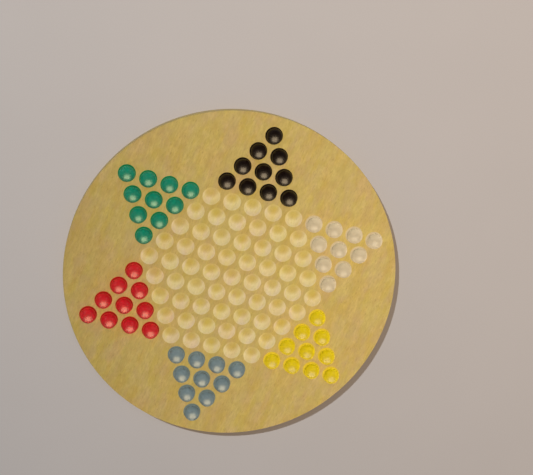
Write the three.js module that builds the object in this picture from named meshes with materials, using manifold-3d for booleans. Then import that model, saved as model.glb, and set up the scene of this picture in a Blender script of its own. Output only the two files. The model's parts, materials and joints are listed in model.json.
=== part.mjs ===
// Chinese checkers set: a round wooden board with a six-pointed star of shallow round
// hollows, and glass marbles standing in the hollows of the star's six points.
// Millimetres, +Z up. The origin is the centre of the board's underside, and +Y points
// at the tip of the black point of the star.

import * as THREE from 'three';
import { mergeVertices } from 'three/addons/utils/BufferGeometryUtils.js';
import Module from 'manifold-3d';

const wasm = await Module();
wasm.setup();

// Board: a plain disc turned from flat stock, with its sharp edges eased.
const BOARD_DIAMETER = 298.45;
const BOARD_THICKNESS = 12.7;
const EDGE_RADIUS = 1;
const EDGE_ARC_STEPS = 2;
const BOARD_SEGMENTS = 96;

// Hollows: cut with a ball-nosed cutter on a triangular grid.
const HOLLOW_PITCH = 19.05;
const HOLLOW_DEPTH = 3.175;
const CUTTER_RADIUS = 11.1125;
const CUTTER_SEGMENTS = 14;
const CUTTER_RINGS = 2;
const CUTTER_RISE = 3;

// The star: a hexagon of bare hollows with a triangle of home hollows on each side.
const HEXAGON_STEPS = 4;
const HOME_ROWS = 4;
const ROW_SPACING = HOLLOW_PITCH * Math.sqrt(3) / 2;

// Marbles: one in each home hollow, just clear of the hollow's floor.
const MARBLE_DIAMETER = 14;
const MARBLE_SEGMENTS = 12;
const MARBLE_BANDS = 6;
const SEAT_GAP = 0.3;

// The six home points, clockwise from +Y seen from above.
const HOMES = [
  { name: 'black', colour: 0x15100d, marbles: 10 },
  { name: 'white', colour: 0xcebfa0, marbles: 10 },
  { name: 'yellow', colour: 0xd9b612, marbles: 10 },
  { name: 'blue', colour: 0x667678, marbles: 10 },
  { name: 'red', colour: 0xbb1c22, marbles: 10 },
  // The tenth green marble is not modelled here, to keep within sixty meshes.
  { name: 'green', colour: 0x057a5b, marbles: 9 },
];

const WOOD_COLOUR = 0xc8a661;

// Positions of one home triangle's hollows, row by row from the hexagon to the tip.
// The triangle points along +Y and is turned clockwise by the given angle.
function homePositions(turn) {
  const positions = [];
  for (let row = 1; row <= HOME_ROWS; row++) {
    const count = HOME_ROWS + 1 - row;
    for (let column = 0; column < count; column++) {
      const x = (column - (count - 1) / 2) * HOLLOW_PITCH;
      const y = (HEXAGON_STEPS + row) * ROW_SPACING;
      positions.push(new THREE.Vector2(x, y).rotateAround(new THREE.Vector2(), -turn));
    }
  }
  return positions;
}

// Positions of the bare hollows in the central hexagon, row by row.
function hexagonPositions() {
  const positions = [];
  for (let row = -HEXAGON_STEPS; row <= HEXAGON_STEPS; row++) {
    const count = 2 * HEXAGON_STEPS + 1 - Math.abs(row);
    for (let column = 0; column < count; column++) {
      const x = (column - (count - 1) / 2) * HOLLOW_PITCH;
      positions.push(new THREE.Vector2(x, row * ROW_SPACING));
    }
  }
  return positions;
}

// A closed solid of revolution about +Z from a profile of radius and height pairs.
function turned(profile, segments) {
  const geometry = new THREE.LatheGeometry(profile, segments);
  geometry.rotateX(Math.PI / 2);
  return geometry;
}

function toSolid(geometry) {
  const bare = geometry.clone();
  bare.deleteAttribute('normal');
  bare.deleteAttribute('uv');
  const merged = mergeVertices(bare, 1e-4);
  return new wasm.Manifold(new wasm.Mesh({
    numProp: 3,
    vertProperties: new Float32Array(merged.attributes.position.array),
    triVerts: new Uint32Array(merged.index.array),
  }));
}

function toGeometry(solid) {
  const mesh = solid.getMesh();
  const geometry = new THREE.BufferGeometry();
  geometry.setAttribute('position', new THREE.BufferAttribute(mesh.vertProperties, 3));
  geometry.setIndex(new THREE.BufferAttribute(mesh.triVerts, 1));
  geometry.computeVertexNormals();
  return geometry;
}

// The blank disc, its profile running from the middle of the underside, round the rim
// and back to the middle of the top.
function boardBlank() {
  const radius = BOARD_DIAMETER / 2;
  const profile = [new THREE.Vector2(0, 0)];
  for (let step = 0; step <= EDGE_ARC_STEPS; step++) {
    const angle = step / EDGE_ARC_STEPS * Math.PI / 2;
    profile.push(new THREE.Vector2(
      radius - EDGE_RADIUS * (1 - Math.sin(angle)),
      EDGE_RADIUS * (1 - Math.cos(angle)),
    ));
  }
  for (let step = 0; step <= EDGE_ARC_STEPS; step++) {
    const angle = step / EDGE_ARC_STEPS * Math.PI / 2;
    profile.push(new THREE.Vector2(
      radius - EDGE_RADIUS * (1 - Math.cos(angle)),
      BOARD_THICKNESS - EDGE_RADIUS * (1 - Math.sin(angle)),
    ));
  }
  profile.push(new THREE.Vector2(0, BOARD_THICKNESS));
  return turned(profile, BOARD_SEGMENTS);
}

// One hollow's cutter: the ball nose up to the board's face, then straight on upwards.
function hollowCutter() {
  const floor = BOARD_THICKNESS - HOLLOW_DEPTH;
  const openingAngle = Math.acos(1 - HOLLOW_DEPTH / CUTTER_RADIUS);
  const profile = [new THREE.Vector2(0, floor)];
  for (let ring = 1; ring <= CUTTER_RINGS; ring++) {
    const angle = ring / CUTTER_RINGS * openingAngle;
    profile.push(new THREE.Vector2(
      CUTTER_RADIUS * Math.sin(angle),
      floor + CUTTER_RADIUS * (1 - Math.cos(angle)),
    ));
  }
  const mouth = profile[profile.length - 1];
  profile.push(new THREE.Vector2(mouth.x, mouth.y + CUTTER_RISE));
  profile.push(new THREE.Vector2(0, mouth.y + CUTTER_RISE));
  return turned(profile, CUTTER_SEGMENTS);
}

function boardGeometry(positions) {
  const cutter = toSolid(hollowCutter());
  const cutters = positions.map((spot) => cutter.translate([spot.x, spot.y, 0]));
  const allCutters = wasm.Manifold.compose(cutters);
  return toGeometry(toSolid(boardBlank()).subtract(allCutters));
}

// A ball with its poles on +Z, so that its full width lies along X, Y and Z.
function marbleGeometry() {
  const geometry = new THREE.SphereGeometry(MARBLE_DIAMETER / 2, MARBLE_SEGMENTS, MARBLE_BANDS);
  geometry.rotateX(Math.PI / 2);
  return geometry;
}

const homes = HOMES.map((home, index) => ({
  ...home,
  positions: homePositions(index / HOMES.length * 2 * Math.PI),
}));

const group = new THREE.Group();

const board = new THREE.Mesh(
  boardGeometry([...hexagonPositions(), ...homes.flatMap((home) => home.positions)]),
  new THREE.MeshStandardMaterial({ color: WOOD_COLOUR, roughness: 0.45, metalness: 0 }),
);
board.name = 'board';
group.add(board);

// Numbered from the hexagon's side of each home triangle to its tip.
const marbleHeight = BOARD_THICKNESS - HOLLOW_DEPTH + SEAT_GAP + MARBLE_DIAMETER / 2;
for (const home of homes) {
  const glass = new THREE.MeshStandardMaterial({ color: home.colour, roughness: 0.1, metalness: 0 });
  for (let index = 0; index < home.marbles; index++) {
    const marble = new THREE.Mesh(marbleGeometry(), glass);
    const spot = home.positions[index];
    marble.name = `marble_${home.name}_${String(index + 1).padStart(2, '0')}`;
    marble.position.set(spot.x, spot.y, marbleHeight);
    group.add(marble);
  }
}

export default group;
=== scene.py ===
"""Chinese checkers set: a round pale-wood board with painted home hollows, and sixty glass
marbles standing in the six points of its star. Metres, +Z up, +Y towards the black point."""
import json
import math
from collections import namedtuple

import bmesh
import bpy
from mathutils import Matrix, Vector
from mathutils.geometry import delaunay_2d_cdt

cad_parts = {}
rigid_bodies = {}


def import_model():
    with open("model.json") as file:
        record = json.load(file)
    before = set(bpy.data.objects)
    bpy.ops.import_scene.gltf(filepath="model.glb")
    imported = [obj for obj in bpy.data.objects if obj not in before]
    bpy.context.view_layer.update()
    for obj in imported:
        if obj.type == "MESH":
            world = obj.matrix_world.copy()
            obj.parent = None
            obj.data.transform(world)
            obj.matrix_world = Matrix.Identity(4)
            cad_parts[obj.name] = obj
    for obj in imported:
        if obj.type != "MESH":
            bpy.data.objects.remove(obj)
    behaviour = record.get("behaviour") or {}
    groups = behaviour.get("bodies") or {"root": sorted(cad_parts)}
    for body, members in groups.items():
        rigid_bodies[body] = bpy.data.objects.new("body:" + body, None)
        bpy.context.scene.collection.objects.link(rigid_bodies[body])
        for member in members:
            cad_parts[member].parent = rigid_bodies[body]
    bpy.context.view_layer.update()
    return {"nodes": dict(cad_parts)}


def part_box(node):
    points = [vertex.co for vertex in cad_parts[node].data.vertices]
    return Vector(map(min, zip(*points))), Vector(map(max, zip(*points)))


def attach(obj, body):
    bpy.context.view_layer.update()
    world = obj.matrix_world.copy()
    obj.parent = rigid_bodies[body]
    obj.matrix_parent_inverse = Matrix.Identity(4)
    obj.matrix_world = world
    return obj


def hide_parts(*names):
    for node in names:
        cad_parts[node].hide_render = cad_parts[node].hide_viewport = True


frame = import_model()

MM = 0.001

# Board: its outer size is the CAD board's. Narrow flat strips inside its edge and round its
# hollows keep the top's shading flat.
_, BOARD_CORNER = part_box("board")
BOARD_RADIUS = BOARD_CORNER.x
BOARD_TOP = BOARD_CORNER.z
EDGE_RADIUS = 1.0 * MM
FLAT_STRIP = 0.25 * MM
RIM_SEGMENTS = 240
EDGE_STEPS = 5

# Hollows, cut with a ball-nosed cutter on a triangular grid
HOLLOW_PITCH = 19.05 * MM
HOLLOW_DEPTH = 3.175 * MM
CUTTER_RADIUS = 11.1125 * MM
MOUTH_EASE = 0.4 * MM
HOLLOW_SEGMENTS = 40
EASE_STEPS = 3
HOLLOW_RINGS = 7

# The board's material slots, which the paints follow in the order of the home colours, and
# which strip of a hollow, counted from the flat one, its cut surface or its paint starts with
WOOD_SLOT = 0
CUT_SLOT = 1
FIRST_CUT_STRIP = 1
FIRST_PAINTED_STRIP = 2

# The star: a hexagon of bare hollows with a triangle of home hollows on each side, whose
# colours run clockwise from +Y
HEXAGON_STEPS = 4
HOME_ROWS = 4
ROW_SPACING = HOLLOW_PITCH * math.sqrt(3) / 2
HOME_COLOURS = ("black", "white", "yellow", "blue", "red", "green")

# Marbles
MARBLE_RADIUS = 7.0 * MM
MARBLE_SEGMENTS = 36
MARBLE_RINGS = 18

# Their gloss: how much weaker it is in a colour that the glass is bright in, and how strong
# the clear coat is beside it
GLOSS_LOSS = 1.4
COAT_SHARE = 0.2
GLASS_IOR = 1.36

# Wood: its grain leans from +Y towards +X, its tones are light, dark and in the pores, and
# its hue wanders to rosy, golden and ruddy. A hollow's wall on the side nearer the black point,
# which faces away from the key, is given darker, yellower tones: painted shade.
GRAIN_LEAN = math.radians(7)
FACE_TONES = ((0.530, 0.424, 0.141), (0.406, 0.315, 0.097), (0.24, 0.173, 0.057))
CUT_TONES = ((0.690, 0.606, 0.325), (0.599, 0.514, 0.257), (0.419, 0.330, 0.152))
# Painted shade: the shaded wall's tones, darker and yellower than the cut wood's
SHADED_WALL_TONES = ((0.518, 0.420, 0.117), (0.449, 0.357, 0.092), (0.31, 0.226, 0.060))
ROSY = (1.0, 0.97, 1.22)
GOLDEN = (1.0, 0.99, 0.80)
RUDDY = (1.01, 0.96, 0.97)
# The way the shaded wall faces, away from the key; the painted shade is strongest there
SHADED_WALL_NORMAL = (0.088, -0.330, 0.940)
LACQUER = {"Coat_Weight": 0.08, "Coat_Roughness": 0.35}

# Floor
FLOOR_SIZE = 6
FLOOR_TONES = ((0.272, 0.255, 0.250), (0.259, 0.243, 0.238))

# Camera: its place and aim from the middle of the board's top face, and its roll. The lens
# and the sensor's width are in millimetres.
CAMERA_PLACE = Vector((-0.1424, 0.2233, 0.9417))
CAMERA_AIM = Vector((0.0196, 0.0430, 0.0))
CAMERA_ROLL = math.radians(16.83)
CAMERA_LENS = 73.75
CAMERA_SENSOR = 36

# Lamps' places and aims, in metres from the middle of the board's underside: to the right and
# up in the picture, both flattened on to the table, and above it. A lamp with no aim of its
# own is aimed at the middle of the board's top.
KEY_PLACE = (0, 0.80, 1.36)
EDGE_KEY_PLACE = (-1.34, 1.78, 2.72)
TABLE_FILL_PLACE = (0.9, 0.5, 4.0)
TABLE_FILL_AIM = (0.9, 0.5, 0)
FILL_PLACE = (0.45, -0.45, 4.0)
FILL_AIM = (0.45, 0.10, 0)
BOWL_PLACE = (0, -1.0, 0.35)
GLOW_PLACE = (0, -0.465, 0.645)

# Side lamps stand beyond the picture's corners: how far out, how high for the marbles and for
# the rim, and their shares of the power: upper right, upper left, lower right and lower left
SIDE_REACH = 0.7
WRAP_HEIGHT = 0.15
RIM_HEIGHT = 0.07
SIDE_SHARES = (1.9, 1.9, 0.5, 0.5)

# Lamps' sizes, and how wide the spots' cones are
KEY_SIZE = 0.35
EDGE_KEY_SIZE = 0.04
BOWL_SIZE = 0.6
GLOW_SIZE = 1.2
SIDE_SIZE = 0.6
SPOT_RADIUS = 0.15
TABLE_FILL_CONE = math.radians(50)
FILL_CONE = math.radians(26)

# Lamps' power in watts, and their tints
KEY_POWER = 1.3
EDGE_KEY_POWER = 156.0
FILL_POWER = 669.0
TABLE_POWER = 650.0
GLOW_POWER = 101.0
WRAP_POWER = 5.0
BOWL_POWER = 2.4
RIM_POWER = 1.2
WORLD_STRENGTH = 0.21
KEY_TINT = (0.92, 0.97, 1.0)
FILL_TINT = (1.0, 0.85, 0.70)
TABLE_TINT = (1.0, 0.72, 0.47)
GLOW_TINT = (1.0, 0.80, 0.52)
WRAP_TINT = (1.0, 0.96, 0.88)
WORLD_TINT = (0.88, 0.95, 1.0)


def home_positions(turn):
    """A home triangle's hollows, row by row from the hexagon to the tip, turned clockwise."""
    turning = Matrix.Rotation(-turn, 2)
    positions = []
    for row in range(1, HOME_ROWS + 1):
        count = HOME_ROWS + 1 - row
        for column in range(count):
            x = (column - (count - 1) / 2) * HOLLOW_PITCH
            y = (HEXAGON_STEPS + row) * ROW_SPACING
            positions.append(turning @ Vector((x, y)))
    return positions


def hexagon_positions():
    """The bare hollows in the middle of the star, row by row."""
    positions = []
    for row in range(-HEXAGON_STEPS, HEXAGON_STEPS + 1):
        count = 2 * HEXAGON_STEPS + 1 - abs(row)
        for column in range(count):
            x = (column - (count - 1) / 2) * HOLLOW_PITCH
            positions.append(Vector((x, row * ROW_SPACING)))
    return positions


def new_collection(name):
    """A collection in the scene, so that lamps can be limited to what is in it."""
    collection = bpy.data.collections.new(name)
    bpy.context.scene.collection.children.link(collection)
    return collection


HOMES = {
    colour: home_positions(index * 2 * math.pi / len(HOME_COLOURS))
    for index, colour in enumerate(HOME_COLOURS)
}


# ---------------------------------------------------------------- node helpers

# A mix node's sockets for colours, by number, because several of its sockets share a name
MIX_FACTOR = 0
MIX_FIRST = 6
MIX_SECOND = 7
MIX_RESULT = 2


def rgb(red, green, blue):
    return (red, green, blue, 1.0)


class Graph:
    """A material's node tree, with short ways to add and join nodes."""

    def __init__(self, name):
        self.material = bpy.data.materials.new(name)
        self.material.use_nodes = True
        self.tree = self.material.node_tree
        self.shader = self.tree.nodes["Principled BSDF"]

    def node(self, kind, inputs=None, **settings):
        """A new node with its own settings, and with its named inputs joined or set."""
        made = self.tree.nodes.new(kind)
        for key, value in settings.items():
            setattr(made, key, value)
        for key, value in (inputs or {}).items():
            self.put(made.inputs[key], value)
        return made

    def put(self, socket, value):
        """Joins a socket to the one given, or sets it to a plain value."""
        if isinstance(value, bpy.types.NodeSocket):
            self.tree.links.new(value, socket)
        else:
            socket.default_value = value

    def place(self, scale, offset):
        """The object's own coordinates in metres, turned to the grain, scaled and shifted."""
        coordinates = self.node("ShaderNodeTexCoord").outputs["Object"]
        turned = self.node("ShaderNodeVectorRotate", {
            "Vector": coordinates, "Angle": GRAIN_LEAN,
        }, rotation_type="Z_AXIS").outputs["Vector"]
        mapping = self.node("ShaderNodeMapping", {"Vector": turned})
        mapping.inputs["Scale"].default_value = scale
        mapping.inputs["Location"].default_value = offset
        return mapping.outputs["Vector"]

    def noise(self, scale, offset=(0, 0, 0), *, detail, roughness=0.5, distortion=0.0):
        """Noise from 0 to 1; its scale is waves per metre across the grain, along it and up."""
        return self.node("ShaderNodeTexNoise", {
            "Vector": self.place(scale, offset), "Scale": 1.0, "Detail": detail,
            "Roughness": roughness, "Distortion": distortion,
        }).outputs["Fac"]

    def span(self, value, low, high, start=0.0, end=1.0):
        """Maps low..high of a value to start..end, smoothly and clamped."""
        return self.node("ShaderNodeMapRange", {
            "Value": value, "From Min": low, "From Max": high, "To Min": start, "To Max": end,
        }, interpolation_type="SMOOTHSTEP").outputs["Result"]

    def math(self, operation, first, second):
        made = self.node("ShaderNodeMath", operation=operation)
        self.put(made.inputs[0], first)
        self.put(made.inputs[1], second)
        return made.outputs["Value"]

    def mix(self, factor, first, second, blend="MIX"):
        made = self.node("ShaderNodeMix", data_type="RGBA", blend_type=blend)
        self.put(made.inputs[MIX_FACTOR], factor)
        self.put(made.inputs[MIX_FIRST], first)
        self.put(made.inputs[MIX_SECOND], second)
        return made.outputs[MIX_RESULT]

    def bump(self, height, distance, strength):
        return self.node("ShaderNodeBump", {
            "Height": height, "Distance": distance, "Strength": strength,
        }).outputs["Normal"]

    def finish(self, **sockets):
        """Sets the shader's sockets, named with underscores for spaces."""
        for name, value in sockets.items():
            self.put(self.shader.inputs[name.replace("_", " ")], value)
        return self.material


# ---------------------------------------------------------------- materials

def wood_grain(graph):
    """Wood fibres: short fine streaks, and pores between them."""
    streaks = graph.noise((640, 150, 640), (3.1, 0.7, 1.9), detail=4.0, roughness=0.7)
    pores = graph.span(graph.noise((1500, 260, 1500), (8.3, 2.2, 5.7), detail=2.0), 0.58, 0.74)
    return streaks, pores


def wood_colour(graph, tones):
    """The wood's colour in these tones, and its relief, with the fibres over the pores.

    Bands, mottling, streaks and pores darken it, and it has rosy, golden and ruddy patches."""
    light, dark, pore = (rgb(*tone) for tone in tones)
    streaks, pores = wood_grain(graph)
    bands = graph.noise((170, 16, 170), (6.1, 2.7, 4.9), detail=3.0, distortion=0.4)
    mottle = graph.noise((150, 90, 150), (0.6, 3.7, 2.9), detail=3.0, roughness=0.7)
    rosy = graph.noise((95, 45, 95), (1.3, 4.4, 0.2), detail=4.0, roughness=0.6)
    golden = graph.noise((115, 40, 115), (5.2, 0.3, 7.7), detail=4.0, roughness=0.6)
    ruddy = graph.noise((80, 30, 80), (2.4, 6.1, 3.3), detail=4.0, roughness=0.6)
    colour = graph.mix(graph.span(bands, 0.35, 0.70, end=0.40), light, dark)
    colour = graph.mix(graph.span(mottle, 0.36, 0.66, end=0.50), colour, dark)
    colour = graph.mix(graph.span(streaks, 0.38, 0.64, end=0.65), colour, dark)
    colour = graph.mix(graph.math("MULTIPLY", pores, 0.40), colour, pore)
    colour = graph.mix(graph.span(rosy, 0.44, 0.66), colour, rgb(*ROSY), "MULTIPLY")
    colour = graph.mix(graph.span(golden, 0.46, 0.66), colour, rgb(*GOLDEN), "MULTIPLY")
    colour = graph.mix(graph.span(ruddy, 0.43, 0.60), colour, rgb(*RUDDY), "MULTIPLY")
    relief = graph.math("SUBTRACT", streaks, graph.math("MULTIPLY", pores, 0.8))
    return colour, relief


def wood_material():
    """Pale wood, sanded flat and thinly lacquered."""
    graph = Graph("pale_wood")
    colour, relief = wood_colour(graph, FACE_TONES)
    return graph.finish(
        Base_Color=colour, Roughness=graph.span(relief, 0.2, 0.7, start=0.55, end=0.44),
        Normal=graph.bump(relief, distance=0.05 * MM, strength=0.6), **LACQUER,
    )


def cut_wood_material():
    """A hollow's cut surface: pale, with painted shade, darker and yellower, on its wall on the
    side nearer the black point.
    """
    graph = Graph("cut_wood")
    bare, relief = wood_colour(graph, CUT_TONES)
    # Painted shade: darker, yellower tones on the wall that faces away from the key
    shaded_colour, _ = wood_colour(graph, SHADED_WALL_TONES)
    facing = graph.node("ShaderNodeTexCoord").outputs["Normal"]
    shade_mask = graph.node("ShaderNodeVectorMath", operation="DOT_PRODUCT")
    graph.put(shade_mask.inputs[0], facing)
    graph.put(shade_mask.inputs[1], SHADED_WALL_NORMAL)
    return graph.finish(
        Base_Color=graph.mix(graph.span(shade_mask.outputs["Value"], 0.79, 1.00), bare, shaded_colour),
        Roughness=graph.span(relief, 0.2, 0.7, start=0.50, end=0.40),
        Normal=graph.bump(relief, distance=0.03 * MM, strength=0.5), **LACQUER,
    )


def paint_material(name, look):
    """Satin enamel brushed into a home hollow, a little uneven, with the grain under it."""
    graph = Graph(name)
    streaks, pores = wood_grain(graph)
    cloud = graph.noise((260, 260, 260), (2.0, 5.0, 1.0), detail=3.0)
    colour = graph.mix(graph.span(cloud, 0.35, 0.7, end=0.6), look.paint, look.dark_paint)
    colour = graph.mix(graph.math("MULTIPLY", pores, 0.3), colour, look.dark_paint)
    relief = graph.math("ADD", cloud, graph.math("MULTIPLY", streaks, 0.3))
    return graph.finish(
        Base_Color=colour, Roughness=graph.span(cloud, 0.3, 0.7, start=0.30, end=0.42),
        Normal=graph.bump(relief, distance=0.04 * MM, strength=0.5),
    )


def marble_material(name, look):
    """Opaque glass: one colour with soft swirls in it, faintly rippled, and glossy.

    The milky colours scatter light back from their sides, which flattens their shading, and
    the gloss is weaker in whatever colour the glass itself is bright in."""
    graph = Graph(name)
    tint = [1 - GLOSS_LOSS * channel for channel in look.glass[:3]]
    swirl = graph.noise((150, 150, 150), (0.4, 0.9, 0.1), detail=2.0, distortion=1.8)
    wisps = graph.noise((330, 210, 330), (6.4, 1.9, 3.1), detail=3.0, distortion=2.5)
    colour = graph.mix(graph.span(swirl, 0.35, 0.7, end=0.55), look.glass, look.dark_glass)
    colour = graph.mix(graph.span(wisps, 0.6, 0.78, end=0.35), colour, look.pale_wisps)
    ripple = graph.noise((420, 420, 420), (1.0, 2.0, 3.0), detail=1.0)
    return graph.finish(
        Base_Color=colour, Roughness=graph.span(wisps, 0.3, 0.7, start=0.42, end=0.48),
        Diffuse_Roughness=look.milky,
        Normal=graph.bump(ripple, distance=0.02 * MM, strength=0.4),
        Specular_IOR_Level=look.shine, Specular_Tint=rgb(*tint), IOR=GLASS_IOR,
        Coat_Weight=COAT_SHARE * look.shine, Coat_Roughness=0.12,
    )


def floor_material():
    """A matt, warm-grey studio sheet, all but even in tone."""
    graph = Graph("studio_sheet")
    tone = graph.noise((9, 9, 9), detail=2.0)
    colour = graph.mix(tone, *(rgb(*shade) for shade in FLOOR_TONES))
    grit = graph.noise((700, 700, 700), detail=2.0)
    return graph.finish(
        Base_Color=colour, Roughness=graph.span(grit, 0.3, 0.7, start=0.75, end=0.9),
        Normal=graph.bump(grit, distance=0.05 * MM, strength=0.3),
    )


# A home's paint and its marbles' glass, how shiny that glass is, and how milky
Look = namedtuple("Look", "paint dark_paint glass dark_glass pale_wisps shine milky")

COLOURS = {
    "black": Look(
        paint=rgb(0.012, 0.008, 0.006), dark_paint=rgb(0.006, 0.004, 0.003),
        glass=rgb(0.003, 0.001, 0.001), dark_glass=rgb(0.002, 0.001, 0.001),
        pale_wisps=rgb(0.006, 0.004, 0.003), shine=0.26, milky=0.0,
    ),
    "white": Look(
        paint=rgb(0.49, 0.43, 0.29), dark_paint=rgb(0.45, 0.39, 0.26),
        glass=rgb(0.425, 0.360, 0.244), dark_glass=rgb(0.392, 0.332, 0.222),
        pale_wisps=rgb(0.46, 0.40, 0.282), shine=0.33, milky=1.0,
    ),
    "yellow": Look(
        paint=rgb(0.58, 0.48, 0.04), dark_paint=rgb(0.53, 0.43, 0.03),
        glass=rgb(0.495, 0.385, 0.003), dark_glass=rgb(0.46, 0.355, 0.003),
        pale_wisps=rgb(0.515, 0.405, 0.015), shine=0.23, milky=1.0,
    ),
    "blue": Look(
        paint=rgb(0.17, 0.23, 0.23), dark_paint=rgb(0.13, 0.18, 0.19),
        glass=rgb(0.102, 0.142, 0.158), dark_glass=rgb(0.085, 0.122, 0.139),
        pale_wisps=rgb(0.137, 0.178, 0.198), shine=0.27, milky=0.0,
    ),
    "red": Look(
        paint=rgb(0.36, 0.015, 0.012), dark_paint=rgb(0.31, 0.010, 0.008),
        glass=rgb(0.334, 0.005, 0.010), dark_glass=rgb(0.300, 0.004, 0.008),
        pale_wisps=rgb(0.352, 0.013, 0.016), shine=0.26, milky=0.0,
    ),
    "green": Look(
        paint=rgb(0.006, 0.20, 0.085), dark_paint=rgb(0.004, 0.165, 0.065),
        glass=rgb(0.001, 0.126, 0.076), dark_glass=rgb(0.001, 0.111, 0.067),
        pale_wisps=rgb(0.003, 0.142, 0.088), shine=0.29, milky=0.0,
    ),
}


# ---------------------------------------------------------------- the board

# For filling the top: triangles inside the rim only, points this close are one point, and the
# rim's number among the mouths' numbers
TRIANGLES_INSIDE = 1
MERGE_DISTANCE = 1e-7
RIM_OWNER = -1


def hollow_profile():
    """Radius and height pairs from the flat round a hollow, over its eased mouth, to its floor."""
    sphere_height = BOARD_TOP - HOLLOW_DEPTH + CUTTER_RADIUS
    lift = sphere_height - (BOARD_TOP - MOUTH_EASE)
    reach = math.sqrt((CUTTER_RADIUS + MOUTH_EASE) ** 2 - lift ** 2)
    steep = math.atan2(reach, lift)
    profile = [(reach + FLAT_STRIP, BOARD_TOP)]
    for step in range(EASE_STEPS + 1):
        angle = steep * step / EASE_STEPS
        profile.append((
            reach - MOUTH_EASE * math.sin(angle),
            BOARD_TOP - MOUTH_EASE * (1 - math.cos(angle)),
        ))
    for ring in range(1, HOLLOW_RINGS):
        angle = steep * (1 - ring / HOLLOW_RINGS)
        profile.append((
            CUTTER_RADIUS * math.sin(angle),
            sphere_height - CUTTER_RADIUS * math.cos(angle),
        ))
    return profile


def rim_profile():
    """Radius and height pairs from the flat top, round the board's edge, to the flat underside."""
    profile = [(BOARD_RADIUS - EDGE_RADIUS - FLAT_STRIP, BOARD_TOP)]
    for step in range(EDGE_STEPS + 1):
        angle = math.pi / 2 * step / EDGE_STEPS
        profile.append((
            BOARD_RADIUS - EDGE_RADIUS * (1 - math.sin(angle)),
            BOARD_TOP - EDGE_RADIUS * (1 - math.cos(angle)),
        ))
    for step in range(EDGE_STEPS + 1):
        angle = math.pi / 2 * step / EDGE_STEPS
        profile.append((
            BOARD_RADIUS - EDGE_RADIUS * (1 - math.cos(angle)),
            EDGE_RADIUS * (1 - math.sin(angle)),
        ))
    profile.append((BOARD_RADIUS - EDGE_RADIUS - FLAT_STRIP, 0.0))
    return profile


def add_ring(mesh, centre, radius, height, segments):
    ring = []
    for index in range(segments):
        angle = 2 * math.pi * index / segments
        ring.append(mesh.verts.new((
            centre.x + radius * math.cos(angle), centre.y + radius * math.sin(angle), height,
        )))
    return ring


def join_rings(mesh, outer, inner, slot):
    """Faces between two rings, facing up where the inner ring is the narrower one."""
    count = len(outer)
    for index in range(count):
        after = (index + 1) % count
        face = mesh.faces.new((outer[index], outer[after], inner[after], inner[index]))
        face.material_index = slot


def add_hollow(mesh, centre, slot):
    """One hollow below the face; returns the ring of points where it meets the flat top.

    Paint stops just below the top of the eased mouth, which is sanded back to the wood."""
    profile = hollow_profile()
    first_strip = FIRST_CUT_STRIP if slot == CUT_SLOT else FIRST_PAINTED_STRIP
    rings = [add_ring(mesh, centre, radius, height, HOLLOW_SEGMENTS) for radius, height in profile]
    for strip in range(len(rings) - 1):
        strip_slot = slot if strip >= first_strip else WOOD_SLOT
        join_rings(mesh, rings[strip], rings[strip + 1], strip_slot)
    middle = mesh.verts.new((centre.x, centre.y, BOARD_TOP - HOLLOW_DEPTH))
    last = rings[-1]
    for index in range(HOLLOW_SEGMENTS):
        face = mesh.faces.new((last[index], last[(index + 1) % HOLLOW_SEGMENTS], middle))
        face.material_index = slot
    return rings[0]


def add_rim(mesh):
    """The board's edge and underside; returns the ring where the edge meets the flat top."""
    profile = rim_profile()
    origin = Vector((0, 0))
    rings = [add_ring(mesh, origin, radius, height, RIM_SEGMENTS) for radius, height in profile]
    for index in range(len(rings) - 1):
        join_rings(mesh, rings[index + 1], rings[index], WOOD_SLOT)
    mesh.faces.new(list(reversed(rings[-1])))
    return rings[0]


def fill_top(mesh, rim, mouths):
    """The flat face, filled between the rim and every hollow's mouth.

    Each corner's owner is the number of its mouth, or RIM_OWNER. A triangle whose corners all
    lie on one mouth covers a hollow, so it is left out."""
    corners = []
    edges = []
    for ring in [rim, *mouths]:
        start = len(corners)
        corners.extend(ring)
        edges.extend((start + i, start + (i + 1) % len(ring)) for i in range(len(ring)))
    owner = [RIM_OWNER] * len(rim)
    for number, ring in enumerate(mouths):
        owner.extend([number] * len(ring))
    flat = [Vector((corner.co.x, corner.co.y)) for corner in corners]
    _, _, faces, _, _, _ = delaunay_2d_cdt(flat, edges, [], TRIANGLES_INSIDE, MERGE_DISTANCE)
    for face in faces:
        owners = {owner[index] for index in face}
        if len(owners) == 1 and owners != {RIM_OWNER}:
            continue
        mesh.faces.new([corners[index] for index in face])


def make_board(collection):
    """The wooden disc with its hollows, bare in the hexagon and painted in the homes."""
    mesh = bmesh.new()
    rim = add_rim(mesh)
    mouths = [add_hollow(mesh, spot, CUT_SLOT) for spot in hexagon_positions()]
    for slot, colour in enumerate(HOME_COLOURS, CUT_SLOT + 1):
        mouths.extend(add_hollow(mesh, spot, slot) for spot in HOMES[colour])
    fill_top(mesh, rim, mouths)
    for face in mesh.faces:
        face.smooth = True
    data = bpy.data.meshes.new("wooden_board")
    mesh.to_mesh(data)
    mesh.free()
    board = bpy.data.objects.new("wooden_board", data)
    collection.objects.link(board)
    data.materials.append(wood_material())
    data.materials.append(cut_wood_material())
    for colour in HOME_COLOURS:
        data.materials.append(paint_material(f"{colour}_paint", COLOURS[colour]))
    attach(board, "board")
    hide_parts("board")


# ---------------------------------------------------------------- the marbles

def make_marble(collection, name, spot, material):
    """A glass ball resting on the floor of its hollow."""
    centre = Vector((spot.x, spot.y, BOARD_TOP - HOLLOW_DEPTH + MARBLE_RADIUS))
    mesh = bmesh.new()
    bmesh.ops.create_uvsphere(
        mesh, u_segments=MARBLE_SEGMENTS, v_segments=MARBLE_RINGS, radius=MARBLE_RADIUS)
    bmesh.ops.translate(mesh, verts=mesh.verts, vec=centre)
    for face in mesh.faces:
        face.smooth = True
    data = bpy.data.meshes.new(name)
    mesh.to_mesh(data)
    mesh.free()
    data.materials.append(material)
    marble = bpy.data.objects.new(name, data)
    collection.objects.link(marble)
    return marble


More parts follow.
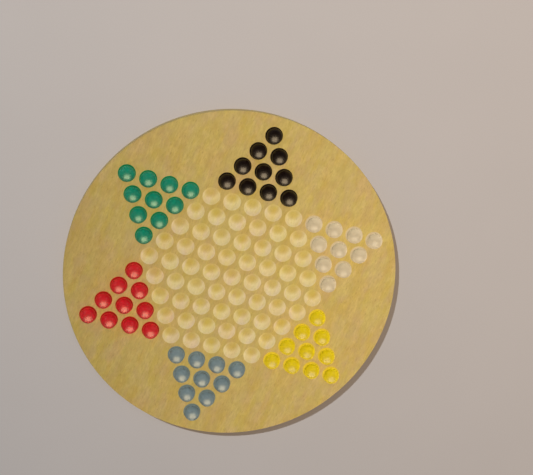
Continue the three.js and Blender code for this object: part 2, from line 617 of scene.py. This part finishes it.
def make_marbles(collection):
    """Sixty marbles. The one with no CAD solid rides with the marble numbered before it."""
    for colour, positions in HOMES.items():
        material = marble_material(f"{colour}_glass", COLOURS[colour])
        for number, spot in enumerate(positions, 1):
            node = f"marble_{colour}_{number:02d}"
            marble = make_marble(collection, f"glass_{colour}_{number:02d}", spot, material)
            if node in frame["nodes"]:
                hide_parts(node)
                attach(marble, node)
            else:
                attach(marble, f"marble_{colour}_{number - 1:02d}")


# ---------------------------------------------------------------- the studio

def make_floor(collection):
    bpy.ops.mesh.primitive_plane_add(size=FLOOR_SIZE)
    floor = bpy.context.object
    bpy.context.collection.objects.unlink(floor)
    collection.objects.link(floor)
    floor.name = "studio_floor"
    floor.data.materials.append(floor_material())


def make_camera():
    """Returns the camera's right and up directions, which the lamps are placed by."""
    middle = Vector((0, 0, BOARD_TOP))
    ahead = (CAMERA_AIM - CAMERA_PLACE).normalized()
    towards_black = Vector((0, 1, 0))
    up = (towards_black - towards_black.dot(ahead) * ahead).normalized()
    up = Matrix.Rotation(CAMERA_ROLL, 3, -ahead) @ up
    right = ahead.cross(up)
    data = bpy.data.cameras.new("camera")
    data.lens = CAMERA_LENS
    data.sensor_width = CAMERA_SENSOR
    camera = bpy.data.objects.new("camera", data)
    bpy.context.collection.objects.link(camera)
    turned = Matrix((right, up, -ahead)).transposed().to_4x4()
    camera.matrix_world = Matrix.Translation(middle + CAMERA_PLACE) @ turned
    bpy.context.scene.camera = camera
    return right, up


def add_lamp(name, kind, place, aim, power, colour):
    data = bpy.data.lights.new(name, kind)
    data.energy = power
    data.color = colour
    lamp = bpy.data.objects.new(name, data)
    bpy.context.collection.objects.link(lamp)
    lamp.location = place
    lamp.rotation_euler = (aim - place).to_track_quat("-Z", "Y").to_euler()
    return lamp


def add_area(name, place, size, power, colour):
    """A square soft lamp aimed at the middle of the board's top."""
    lamp = add_lamp(name, "AREA", place, Vector((0, 0, BOARD_TOP)), power, colour)
    lamp.data.size = size
    return lamp


def add_spot(name, place, aim, cone, power, colour):
    """A lamp whose light falls off sideways, to nothing at the edge of its cone."""
    lamp = add_lamp(name, "SPOT", place, aim, power, colour)
    lamp.data.spot_size = cone
    lamp.data.spot_blend = 1.0
    lamp.data.shadow_soft_size = SPOT_RADIUS
    return lamp


def limit(lamp, receivers):
    """Keeps a lamp's light to some of the pieces, with no shadow and no highlight."""
    lamp.visible_glossy = False
    lamp.data.use_shadow = False
    lamp.light_linking.receiver_collection = receivers


def table_axes(right, up):
    """The picture's right and up, flattened on to the table, and straight up from it."""
    across = Vector((right.x, right.y, 0)).normalized()
    away = Vector((up.x, up.y, 0)).normalized()
    return across, away, Vector((0, 0, 1))


def at(axes, steps):
    """The point reached by going these steps along the table's axes."""
    across, away, above = axes
    return across * steps[0] + away * steps[1] + above * steps[2]


def make_keys(axes, board, studio):
    """The key comes from above the picture. A second, small and hard key lights the table
    only, so that the board's edge draws a crisp shadow on it."""
    key = add_area("key", at(axes, KEY_PLACE), KEY_SIZE, KEY_POWER, KEY_TINT)
    key.visible_glossy = False

    edge_place = at(axes, EDGE_KEY_PLACE)
    edge_key = add_area("edge_key", edge_place, EDGE_KEY_SIZE, EDGE_KEY_POWER, KEY_TINT)
    edge_key.visible_glossy = False
    edge_key.light_linking.receiver_collection = studio
    edge_key.light_linking.blocker_collection = board


def make_fills(axes, board, whole_set, studio):
    """A fill over the table, to the right, softens the board's shadow. Another lights the
    board and marbles from overhead, and a low one from below the picture reaches into the
    hollows."""
    table_fill = add_spot(
        "table_fill", at(axes, TABLE_FILL_PLACE), at(axes, TABLE_FILL_AIM), TABLE_FILL_CONE,
        TABLE_POWER, TABLE_TINT,
    )
    limit(table_fill, studio)

    fill = add_spot(
        "fill", at(axes, FILL_PLACE), at(axes, FILL_AIM), FILL_CONE, FILL_POWER, FILL_TINT)
    limit(fill, whole_set)

    bowl_light = add_area("bowl_light", at(axes, BOWL_PLACE), BOWL_SIZE, BOWL_POWER, FILL_TINT)
    limit(bowl_light, board)


def make_glow(axes, marbles):
    """Soft highlights on the marbles only, from below the picture."""
    glow = add_area("glow", at(axes, GLOW_PLACE), GLOW_SIZE, GLOW_POWER, GLOW_TINT)
    glow.visible_diffuse = False
    glow.light_linking.receiver_collection = marbles


def make_side_lamps(axes, board, marbles):
    """Two low lamps beyond each of the picture's corners: one wraps its light round the
    marbles' sides, and the other lights the board and its rim."""
    across, away, above = axes
    corners = (across + away, away - across, across - away, -across - away)
    for corner, share in zip(corners, SIDE_SHARES):
        wrap_place = corner * SIDE_REACH + above * WRAP_HEIGHT
        limit(add_area("wrap", wrap_place, SIDE_SIZE, WRAP_POWER * share, WRAP_TINT), marbles)
        rim_place = corner * SIDE_REACH + above * RIM_HEIGHT
        limit(add_area("rim_light", rim_place, SIDE_SIZE, RIM_POWER * share, WRAP_TINT), board)


def make_world():
    """Weak, bluish light from all round, which shows in no highlight."""
    world = bpy.data.worlds.new("studio")
    world.use_nodes = True
    background = world.node_tree.nodes["Background"]
    background.inputs["Color"].default_value = rgb(*WORLD_TINT)
    background.inputs["Strength"].default_value = WORLD_STRENGTH
    bpy.context.scene.world = world
    world.cycles_visibility.glossy = False


board_group = new_collection("board_group")
marble_group = new_collection("marble_group")
set_group = new_collection("set_group")
studio_group = new_collection("studio_group")
make_board(board_group)
make_marbles(marble_group)
for piece in [*board_group.objects, *marble_group.objects]:
    set_group.objects.link(piece)
make_floor(studio_group)
picture_axes = table_axes(*make_camera())
make_keys(picture_axes, board_group, studio_group)
make_fills(picture_axes, board_group, set_group, studio_group)
make_glow(picture_axes, marble_group)
make_side_lamps(picture_axes, board_group, marble_group)
make_world()
bpy.context.scene.view_settings.view_transform = "Standard"
